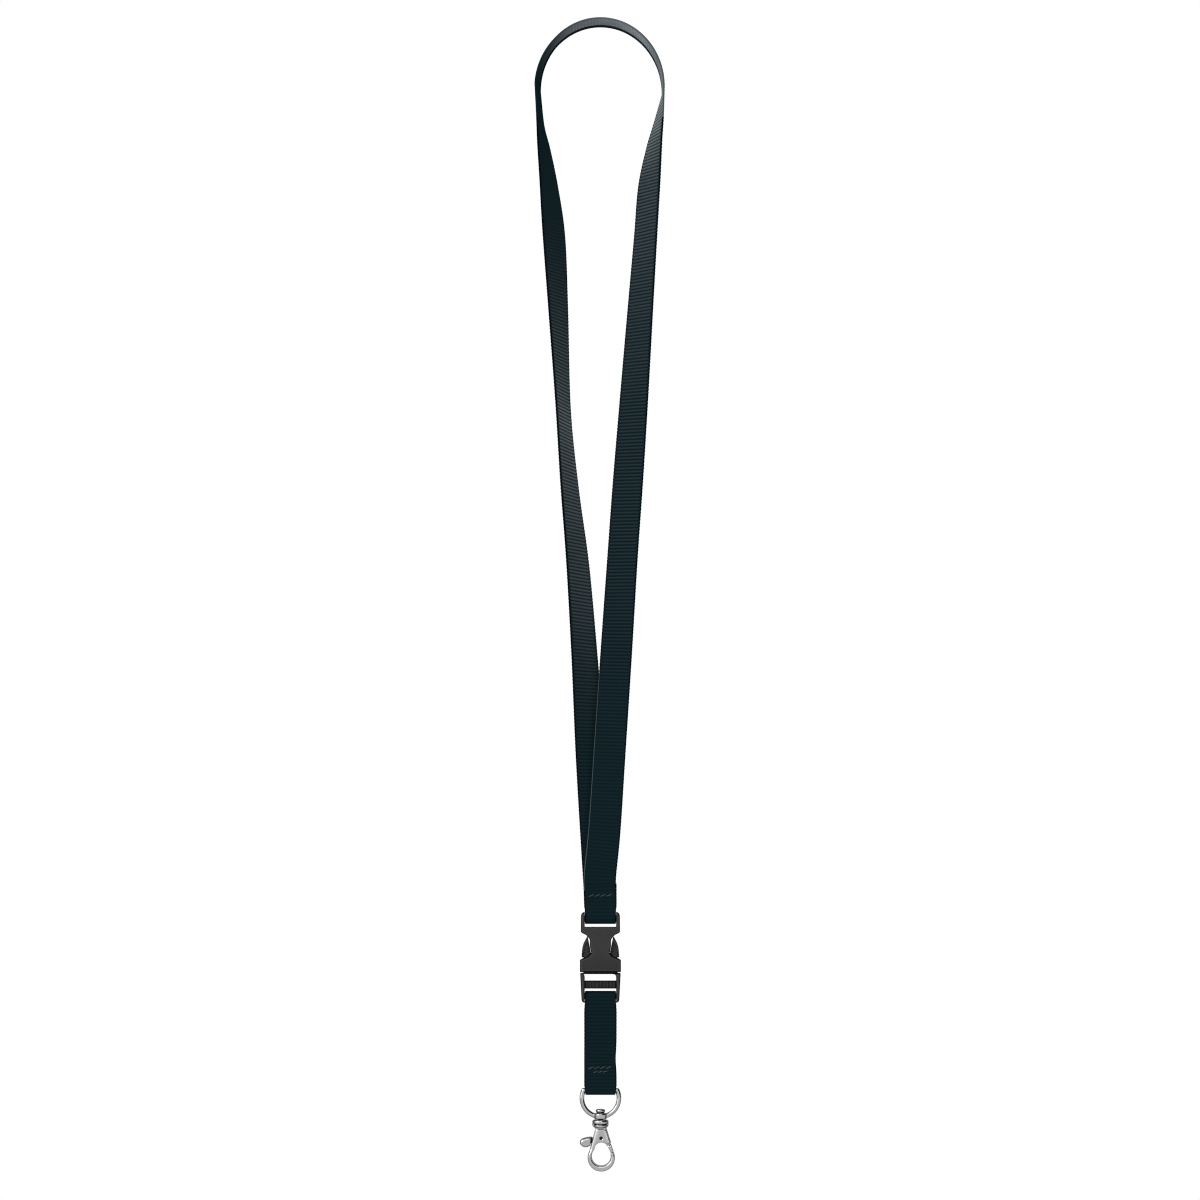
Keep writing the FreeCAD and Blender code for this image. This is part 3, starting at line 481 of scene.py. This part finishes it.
def neck_path():
    """From the end sewn in the seam, up the left leg, over the neck, down the right leg and round the bar."""
    left = between([(0, HANG_Y, SEAM_Z - 14, 0), (-0.3, HANG_Y, SEAM_Z - 5, 0),
                    (-0.7, HANG_Y + 0.3, SEAM_Z + 2, 0)] + LEFT_LEG[::-1], LEG_PARTS)
    right = between(RIGHT_LEG + [(-0.2, HANG_Y - PLY, SEAM_Z + 2, 0), (-0.1, HANG_Y - PLY, SEAM_Z - 5, 0),
                                 (0, HANG_Y - PLY, SOCKET_BAR_Z + 8.5, 0),
                                 (0, HANG_Y - PLY - 0.1, SOCKET_BAR_Z + 6.0, 0),
                                 (0, HANG_Y - BEND + 0.1, SOCKET_BAR_Z + 1.5, 0)], LEG_PARTS)
    arch_middle = np.array([0, LEFT_LEG[0][1], LEFT_LEG[0][2]])
    arch = []
    for k in range(1, ARCH_PARTS):
        a = math.pi * (1 - k / ARCH_PARTS)
        place = arch_middle + ACROSS * ARCH_HALF * math.cos(a) + UP_LOOP * ARCH_RISE * math.sin(a)
        left_turn = math.radians((90 - LEFT_LEG[0][3]) * max(0.0, 1 - 4 * k / ARCH_PARTS))
        right_turn = math.radians((90 - RIGHT_LEG[0][3]) * max(0.0, 4 * k / ARCH_PARTS - 3))
        level = LEAN - ARCH_TILT * math.sin(a)
        deep = np.array([0.0, math.cos(level), -math.sin(level)])
        arch.append((place, ACROSS * (math.sin(left_turn) - math.sin(right_turn))
                     + deep * math.cos(left_turn + right_turn), WEB_WIDTH))
    back = straight([(HANG_Y + BEND - 0.1, SOCKET_BAR_Z + 1.5, SLOT_WIDTH),
                     (HANG_Y + 1.5, SOCKET_BAR_Z + 4.0, SLOT_WIDTH),
                     (HANG_Y + PLY + 0.15, SOCKET_BAR_Z + 5.6, SLOT_WIDTH),
                     (HANG_Y + PLY, SOCKET_BAR_Z + 7.5, WEB_WIDTH),
                     (HANG_Y + PLY, SEAM_Z - 1.5, WEB_WIDTH)], -1)
    stations = (leg_stations(left, 1) + arch + leg_stations(right, -1)
                + bend(HANG_Y, SOCKET_BAR_Z, BEND, 180, 360, (SLOT_WIDTH, SLOT_WIDTH), -1) + back)
    return [(c, w, slot_squeeze(c[2], wide)) for c, w, wide in stations]


def slot_squeeze(z, wide):
    """The webbing narrows smoothly to pass the socket's slot."""
    t = min(1.0, max(0.0, (z - SOCKET_BAR_Z - SQUEEZE_STARTS) / SQUEEZE_LENGTH))
    return min(wide, SLOT_WIDTH + (WEB_WIDTH - SLOT_WIDTH) * t * t * (3 - 2 * t))


def short_path():
    """A closed hanging loop whose two ends are sewn one over the other behind the front ply."""
    full, slot_w = WEB_WIDTH, SLOT_WIDTH
    behind = straight([(HANG_Y + PLY, RING_BAR_Z + 7.5, full), (HANG_Y + PLY, RING_BAR_Z + 17, full),
                       (HANG_Y + PLY, PLUG_BAR_Z - 14, full), (HANG_Y + 1.4, PLUG_BAR_Z - 7, full),
                       (HANG_Y + 1.95, PLUG_BAR_Z - 2.5, slot_w)], 1)
    front = straight([(HANG_Y - 1.95, PLUG_BAR_Z - 2.5, slot_w), (HANG_Y - 1.4, PLUG_BAR_Z - 7, full),
                      (HANG_Y - PLY, PLUG_BAR_Z - 14, full), (HANG_Y - PLY, RING_BAR_Z + 8, full),
                      (HANG_Y - 1.15, RING_BAR_Z + 5, full), (HANG_Y - 1.45, RING_BAR_Z + 2.5, full)], 1)
    inner = straight([(HANG_Y + 1.45, RING_BAR_Z + 2, full), (HANG_Y + 0.8, RING_BAR_Z + 4.5, full),
                      (HANG_Y, RING_BAR_Z + 7.5, full), (HANG_Y, RING_BAR_Z + 20, full)], 1)
    stations = (behind + bend(HANG_Y, PLUG_BAR_Z, BEND, 0, 180, (slot_w, slot_w), 1) + front
                + bend(HANG_Y, RING_BAR_Z, RING_BEND, 180, 360, RING_WIDTHS, 1) + inner)
    drawn = [WAIST_DEPTH * math.exp(-((c[2] - WAIST_Z) / WAIST_REACH) ** 2) for c, w, wide in stations]
    return [(c - ACROSS * pull / 2, w, wide - pull) for (c, w, wide), pull in zip(stations, drawn)]


def resample(stations, step):
    """Even samples along the path: (centre, width direction, width, length so far)."""
    centres = np.array([s[0] for s in stations], float)
    widths_dir = np.array([s[1] for s in stations], float)
    widths = np.array([s[2] for s in stations], float)
    keep = np.concatenate([[True], np.linalg.norm(np.diff(centres, axis=0), axis=1) > 1e-6])
    centres, widths_dir, widths = centres[keep], widths_dir[keep], widths[keep]
    run = np.concatenate([[0], np.cumsum(np.linalg.norm(np.diff(centres, axis=0), axis=1))])
    at = np.arange(0, run[-1], step)
    centre = np.column_stack([np.interp(at, run, centres[:, i]) for i in range(3)])
    direction = np.column_stack([np.interp(at, run, widths_dir[:, i]) for i in range(3)])
    return centre, direction, np.interp(at, run, widths), at


# ---------------------------------------------------------------- meshes
def make_object(name, vertices, faces, material, uv=None, fields=()):
    mesh = bpy.data.meshes.new(name)
    mesh.from_pydata([tuple(v) for v in np.asarray(vertices) * MM], [], faces)
    for field, values in dict(fields).items():
        attribute = mesh.attributes.new(field, "FLOAT", "POINT")
        attribute.data.foreach_set("value", np.asarray(values, np.float32))
    if uv is not None:
        layer = mesh.uv_layers.new(name="across_along")
        loop_vertex = np.zeros(len(mesh.loops), int)
        mesh.loops.foreach_get("vertex_index", loop_vertex)
        layer.data.foreach_set("uv", (np.asarray(uv)[loop_vertex] * MM).astype(np.float32).ravel())
    mesh.shade_smooth()
    mesh.materials.append(material)
    piece = bpy.data.objects.new(name, mesh)
    bpy.context.scene.collection.objects.link(piece)
    return piece


def section(half_width):
    """Points round the webbing's section as (x, thickness share): flat faces, and selvedges rounded over."""
    round_over = WEB_THICK / 2
    edge = [math.radians(d) for d in (0, 25, 50, 72, 90)]
    flat_half = half_width - round_over
    face_x = np.linspace(flat_half, -flat_half, FACE_POINTS)[1:-1]
    right = [(flat_half + round_over * math.cos(a), math.sin(a)) for a in edge]
    top = right + [(x, 1.0) for x in face_x] + [(-x, b) for x, b in reversed(right)]
    bottom = [(x, -b) for x, b in reversed(top[1:-1])]
    return top + bottom


# Levels by height down each leg and by x across the arch, as (place, level). The first table is the
# strength of a pale sheen. It paints light that falls off along the loop and isn't a property of the cloth.
# The legs' levels from -277 to -92 were worked out from colours that a script read off the photo at those
# heights. RELIEF is how deep the ribs stand.
PAINTED_SHEEN_LEVELS = {
    "left": [(-420, 0.0), (-350, 0.08), (-277, 0.62), (-231, 0.44), (-185, 0.36), (-139, 0.2), (-92, 0.02),
             (-60, 0.0)],
    "right": [(-420, 0.0), (-347, 0.03), (-277, 0.35), (-231, 0.46), (-185, 0.49), (-139, 0.58), (-92, 0.65),
              (-40, 0.5)],
    "arch": [(-30, 0.0), (-24, 0.12), (-12, 0.6), (0, 0.8), (12, 0.8), (24, 0.6), (30, 0.5)],
    "seam": [(0, 0.0)]}
RELIEF = {
    "left": [(-420, 0.3), (-350, 0.6), (-277, 1.0), (-150, 1.0), (-100, 0.25), (-60, 0.15)],
    "right": [(-420, 0.25), (-350, 0.45), (-300, 0.8), (-240, 1.0), (-40, 1.0)],
    "arch": [(-30, 0.15), (20, 0.15), (30, 0.5)],
    "seam": [(0, 0.3)]}
# the heights between which the front leg's selvedge is painted light, as a pale line over the leg behind
LIT_SELVEDGE_LOW = -412
LIT_SELVEDGE_HIGH = -310


def level_of(levels, place):
    """A table's level at a place on the neck loop. The sewn end behind the seam has one level throughout."""
    x, y, z = place
    if (y > HANG_Y + 0.5 and z < SEAM_Z) or z < SOCKET_BAR_Z + 4:
        rows, at = levels["seam"], 0
    elif z > LEFT_LEG[0][2]:
        rows, at = levels["arch"], x
    else:
        rows, at = levels["left" if is_left(place) else "right"], z
    return float(np.interp(at, [row[0] for row in rows], [row[1] for row in rows]))


def is_left(place):
    """True for the leg that lies behind at the seam."""
    x, y, z = place
    y_left, legs_end = LEFT_LEG[-1][1:3]
    between_legs = (y_left + RIGHT_LEG[-1][1]) / 2
    behind = y - np.interp(z, [SEAM_Z, legs_end], [HANG_Y - PLY / 2, between_legs])
    return behind > 0 if z < legs_end else x < 0


def ribbed_webbing(name, stations, in_loop):
    """A closed webbing mesh with its woven ribs and scalloped selvedges modelled."""
    centre, direction, widths, at = resample(stations, RIB_PITCH / RIB_STEPS)
    run = np.gradient(centre, axis=0)
    run /= np.linalg.norm(run, axis=1)[:, None]
    wide = direction - run * (run * direction).sum(1)[:, None]
    wide /= np.linalg.norm(wide, axis=1)[:, None]
    out = np.cross(run, wide)
    crest = np.abs(np.cos(np.pi * at / RIB_PITCH)) ** RIB_ROUNDNESS
    vertices, uv = [], []
    fields = {field: [] for field in FIELDS}
    ring_size = len(section(WEB_WIDTH / 2))
    for i in range(len(at)):
        # how strong the painted sheen is here, and how deep the ribs stand
        sheen_level = level_of(PAINTED_SHEEN_LEVELS, centre[i]) if in_loop else 0.0
        ribbed = level_of(RELIEF, centre[i]) if in_loop else SHORT_RELIEF
        in_front = in_loop and LIT_SELVEDGE_LOW < centre[i][2] < LIT_SELVEDGE_HIGH and not is_left(centre[i])
        # over the neck the near selvedge is painted light and the far one painted shade
        above_legs = centre[i][2] - LEFT_LEG[1][2]
        over_neck = in_loop and above_legs > 0
        shade = SHADE_DEPTH * min(1.0, above_legs / SHADE_FADE) if over_neck else 0.0
        half = widths[i] / 2 - SCALLOP * (0.5 - crest[i]) * (0.0 if over_neck else 0.4 + 0.6 * ribbed)
        thick = WEB_THICK / 2 - RIB_DEPTH * (1 - crest[i]) * ribbed
        for x, share in section(half):
            vertices.append(centre[i] + wide[i] * x + out[i] * thick * share)
            uv.append((x, at[i]))
            lit = over_neck and x < 0
            fields["relief"].append(ribbed)
            fields["painted_sheen"].append(sheen_level if lit or abs(x) < half - WEB_THICK / 2 - 0.01 else 0.0)
            fields["lit_selvedge"].append(1.0 if in_front and x > half - WEB_THICK / 2 + 0.1 else 0.0)
            fields["lit"].append(1.0 if lit else 0.0)
            fields["shade"].append(shade if x > half - FAR_SHADE else 0.0)
    faces = []
    for i in range(len(at) - 1):
        a, b = i * ring_size, (i + 1) * ring_size
        for j in range(ring_size):
            k = (j + 1) % ring_size
            faces.append((a + j, a + k, b + k, b + j))
    faces.append(tuple(range(ring_size - 1, -1, -1)))
    last = (len(at) - 1) * ring_size
    faces.append(tuple(range(last, last + ring_size)))
    return make_object(name, vertices, faces, WEBBING, uv, fields)


def tube(points, radius, sides=10, twist_pitch=0.8, ply_depth=0.13):
    """Vertices and faces of a two-ply twisted thread along points."""
    points = np.array(points, float)
    run = np.gradient(points, axis=0)
    run /= np.linalg.norm(run, axis=1)[:, None]
    length = np.concatenate([[0], np.cumsum(np.linalg.norm(np.diff(points, axis=0), axis=1))])
    vertices, faces = [], []
    for i, p in enumerate(points):
        u = np.cross(run[i], [0.0, 1.0, 0.0])
        u /= np.linalg.norm(u)
        v = np.cross(run[i], u)
        for j in range(sides):
            a = 2 * math.pi * j / sides
            r = radius * (1 + ply_depth * math.cos(2 * (a - 2 * math.pi * length[i] / twist_pitch)))
            vertices.append(p + r * (math.cos(a) * u + math.sin(a) * v))
    for i in range(len(points) - 1):
        for j in range(sides):
            k = (j + 1) % sides
            faces.append((i * sides + j, i * sides + k, (i + 1) * sides + k, (i + 1) * sides + j))
    faces.append(tuple(range(sides - 1, -1, -1)))
    faces.append(tuple(range((len(points) - 1) * sides, len(points) * sides)))
    return vertices, faces


def stitching(name, rows):
    """Slanted stitches, front and back, from (height, count, left end, right end, rise) rows."""
    face = 1.5 * PLY - 0.03      # the outer face of three plies
    vertices, faces = [], []
    for z, count, left, right, rise in rows:
        run = (right - left) / count
        for side in (-1, 1):
            for i in range(count):
                low = left + i * run
                start, end = (low, low + 0.8 * run) if side < 0 else (low + 0.9 * run, low + 0.1 * run)
                points = []
                for k in range(STITCH_STEPS + 1):
                    t = k / STITCH_STEPS
                    lift = math.sin(math.pi * t) ** 0.5 * STITCH_LIFT - STITCH_SUNK
                    points.append((start + (end - start) * t, HANG_Y + side * (face + lift),
                                   z + rise * (2 * t - 1) + STITCH_DRIFT * i / count))
                v, f = tube(points, STITCH_RADIUS)
                faces += [tuple(q + len(vertices) for q in face_ids) for face_ids in f]
                vertices += v
    return make_object(name, vertices, faces, THREAD)


# ---------------------------------------------------------------- webbing and stitching pieces
def stand_for(node, body, piece):
    """Let a piece ride on a body in place of a CAD node."""
    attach(piece, body)
    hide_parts(node)


NECK_STITCHES = [(SPLIT_Z + 35.7, 4, -5.3, 5.7, 0.5)]
SHORT_STITCHES = [(SPLIT_Z - 44.3, 4, -5.5, 5.5, 0.55), (SPLIT_Z - 46.2, 3, -3.2, 3.6, 0.2)]
neck_webbing = ribbed_webbing("neck_webbing", neck_path(), in_loop=True)
short_webbing = ribbed_webbing("short_webbing", short_path(), in_loop=False)
stand_for("neck_strap", "neck_loop", neck_webbing)
stand_for("short_strap", "short_loop", short_webbing)
stand_for("neck_strap_stitching", "neck_loop", stitching("neck_stitches", NECK_STITCHES))
stand_for("short_strap_stitching", "short_loop", stitching("short_stitches", SHORT_STITCHES))


# ---------------------------------------------------------------- finishes on the CAD pieces
def dress(node, material):
    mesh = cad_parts[node].data
    mesh.materials.clear()
    mesh.materials.append(material)


for node in ("buckle_socket", "buckle_plug", "latch_arm_left", "latch_arm_right"):
    dress(node, PLASTIC)
for node in ("d_ring", "swivel_post", "gate_lever"):
    dress(node, NICKEL)
dress("hook_body", HOOK_NICKEL)
dress("pivot_pin", BLACKED_STEEL)
dress("gate_spring", SPRING_STEEL)


def tumble(node, voxel, passes):
    """Round a casting over as tumbling does before it is plated."""
    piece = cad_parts[node]
    grid = piece.modifiers.new("recast", "REMESH")
    grid.mode = "VOXEL"
    grid.voxel_size = voxel * MM
    grid.use_smooth_shade = True
    worn = piece.modifiers.new("tumbled", "SMOOTH")
    worn.factor = 0.5
    worn.iterations = passes
    plate = piece.modifiers.new("plated", "DISPLACE")
    plate.strength = PLATING * MM
    plate.mid_level = 0.0


tumble("hook_body", 0.13, 6)
tumble("gate_lever", 0.12, 8)


# ---------------------------------------------------------------- studio
def studio_material():
    """Glowing paper sweep: white to the lens, soft white as a light, and dimmer mirrored in metal."""
    material, n, shader = new_material("studio_white")
    shader.inputs["Base Color"].default_value = (0.0, 0.0, 0.0, 1.0)
    shader.inputs["Specular IOR Level"].default_value = 0.0
    shader.inputs["Emission Color"].default_value = (1.0, 1.0, 1.0, 1.0)
    path = n.add("ShaderNodeLightPath")
    dimmed = n.maths("MULTIPLY", path.outputs["Is Glossy Ray"], BACKDROP_MIRRORED - BACKDROP_LIGHT)
    lens = n.maths("MULTIPLY", path.outputs["Is Camera Ray"], 1.0 - BACKDROP_LIGHT)
    n.link(n.maths("ADD", n.maths("ADD", dimmed, lens), BACKDROP_LIGHT), shader.inputs["Emission Strength"])
    # seen from behind the paper is clear, so that the object can be looked at from the back
    geometry = n.add("ShaderNodeNewGeometry")
    clear = n.add("ShaderNodeBsdfTransparent")
    sides = n.add("ShaderNodeMixShader")
    n.link(geometry.outputs["Backfacing"], sides.inputs[0])
    n.link(shader.outputs[0], sides.inputs[1])
    n.link(clear.outputs[0], sides.inputs[2])
    n.link(sides.outputs[0], material.node_tree.nodes["Material Output"].inputs["Surface"])
    return material


def sweep_backdrop():
    """A pale floor that curves up into a wall behind the object."""
    floor_z = -700.0
    wall_y = 1100.0
    radius = 500.0
    reach = 2600.0
    half = 3000.0
    steps = 16
    profile = [(-reach, floor_z), (wall_y - radius, floor_z)]
    for k in range(1, steps + 1):
        a = math.pi / 2 * k / steps
        profile.append((wall_y - radius + radius * math.sin(a), floor_z + radius * (1 - math.cos(a))))
    profile.append((wall_y, reach))
    vertices = [(x, y, z) for y, z in profile for x in (-half, half)]
    faces = [(2 * i, 2 * i + 1, 2 * i + 3, 2 * i + 2) for i in range(len(profile) - 1)]
    backdrop = make_object("studio_sweep", vertices, faces, studio_material())


def area_light(name, place, size, power, mirrored):
    """A soft box aimed at the object, in metres and watts, and seen in metal only if mirrored."""
    data = bpy.data.lights.new(name, "AREA")
    data.shape = "RECTANGLE"
    data.size, data.size_y = size
    data.energy = power
    light = bpy.data.objects.new(name, data)
    light.location = place
    light.rotation_euler = (Vector(CENTRE) - Vector(place)).to_track_quat("-Z", "Y").to_euler()
    light.visible_glossy = mirrored
    bpy.context.scene.collection.objects.link(light)


def studio_world():
    """Soft grey surroundings, mirrored in metal as pale with dark flags and a dark gap overhead."""
    world = bpy.data.worlds.new("studio")
    bpy.context.scene.world = world
    world.use_nodes = True
    tree = world.node_tree
    n = Nodes(tree)
    background = tree.nodes["Background"]
    coords = n.add("ShaderNodeTexCoord")
    parts = n.add("ShaderNodeSeparateXYZ")
    n.link(coords.outputs["Generated"], parts.inputs[0])
    x, y, z = parts.outputs

    def toward(direction):
        """How nearly a ray points in a direction: 1 along it and 0 square to it."""
        dot = n.add("ShaderNodeVectorMath", operation="DOT_PRODUCT")
        dot.inputs[1].default_value = Vector(direction).normalized()
        n.link(coords.outputs["Generated"], dot.inputs[0])
        return dot.outputs["Value"]

    # a dark flag to the upper right, a narrow one at the left, and the dim room round the lens
    right_flag = n.ramp(toward((0.78, -0.45, 0.50)), [(0.76, 0.0), (0.82, 1.0)])
    left_flag = n.ramp(n.maths("ABSOLUTE", toward((0.30, 0.95, 0.0))), [(0.07, 1.0), (0.13, 0.0)])
    left_flag = n.maths("MULTIPLY", left_flag, n.maths("LESS_THAN", x, 0.0))
    forward = n.maths("MULTIPLY", y, -1.0)
    pale = n.ramp(forward, [(0.0, 0.60), (0.30, 0.90), (0.62, 1.0), (0.84, 1.0), (0.95, 0.62), (1.0, 0.43)])
    gap = n.ramp(forward, [(0.10, 0.0), (0.18, 1.0), (0.52, 1.0), (0.62, 0.0)])
    overhead = n.ramp(z, [(0.12, 0.0), (0.28, 0.85)])
    gap = n.maths("MULTIPLY", gap, overhead)
    dark = n.maths("MAXIMUM", n.maths("MAXIMUM", right_flag, left_flag), gap)
    mirrored = n.mix(dark, pale, (0.012, 0.012, 0.013))
    path = n.add("ShaderNodeLightPath")
    soft = n.ramp(n.maths("ADD", n.maths("MULTIPLY", x, -0.5), 0.5), [(0.1, 0.45), (0.9, 1.0)])
    colour = n.mix(path.outputs["Is Glossy Ray"], soft, mirrored)
    n.link(n.mix(path.outputs["Is Camera Ray"], colour, (1.0, 1.0, 1.0)), background.inputs["Color"])
    strength = n.maths("MULTIPLY", path.outputs["Is Glossy Ray"], STUDIO_MIRRORED - STUDIO_LIGHT)
    lens = n.maths("MULTIPLY", path.outputs["Is Camera Ray"], 1.0 - STUDIO_LIGHT)
    n.link(n.maths("ADD", n.maths("ADD", strength, lens), STUDIO_LIGHT), background.inputs["Strength"])


CENTRE = (0.0, -0.06, -0.27)     # of the object, in metres
sweep_backdrop()
studio_world()
area_light("key_left", place=(-1.8, -1.6, 0.9), size=(1.0, 1.4), power=18, mirrored=True)
area_light("fill_right", place=(1.9, -1.4, 0.3), size=(0.8, 1.4), power=5, mirrored=False)
area_light("top", place=(0.0, -0.3, 1.5), size=(1.4, 0.8), power=7, mirrored=False)

# ---------------------------------------------------------------- camera
CAMERA_DISTANCE = 3.1        # in metres, as are the two below
CAMERA_ASIDE = -0.0002
CAMERA_ABOVE_SPLIT = 0.1729
SENSOR = 36.0
VIEW_HEIGHT = 557.3          # what the picture spans at the hardware
camera_data = bpy.data.cameras.new("camera")
camera_data.sensor_width = SENSOR
camera_data.lens = SENSOR * CAMERA_DISTANCE / (VIEW_HEIGHT * MM)
camera = bpy.data.objects.new("camera", camera_data)
camera.location = (CAMERA_ASIDE, HANG_Y * MM - CAMERA_DISTANCE, SPLIT_Z * MM + CAMERA_ABOVE_SPLIT)
camera.rotation_euler = (math.pi / 2, 0.0, 0.0)
bpy.context.scene.collection.objects.link(camera)
bpy.context.scene.camera = camera
bpy.context.scene.view_settings.view_transform = "Standard"
bpy.context.scene.cycles.filter_width = 1.15
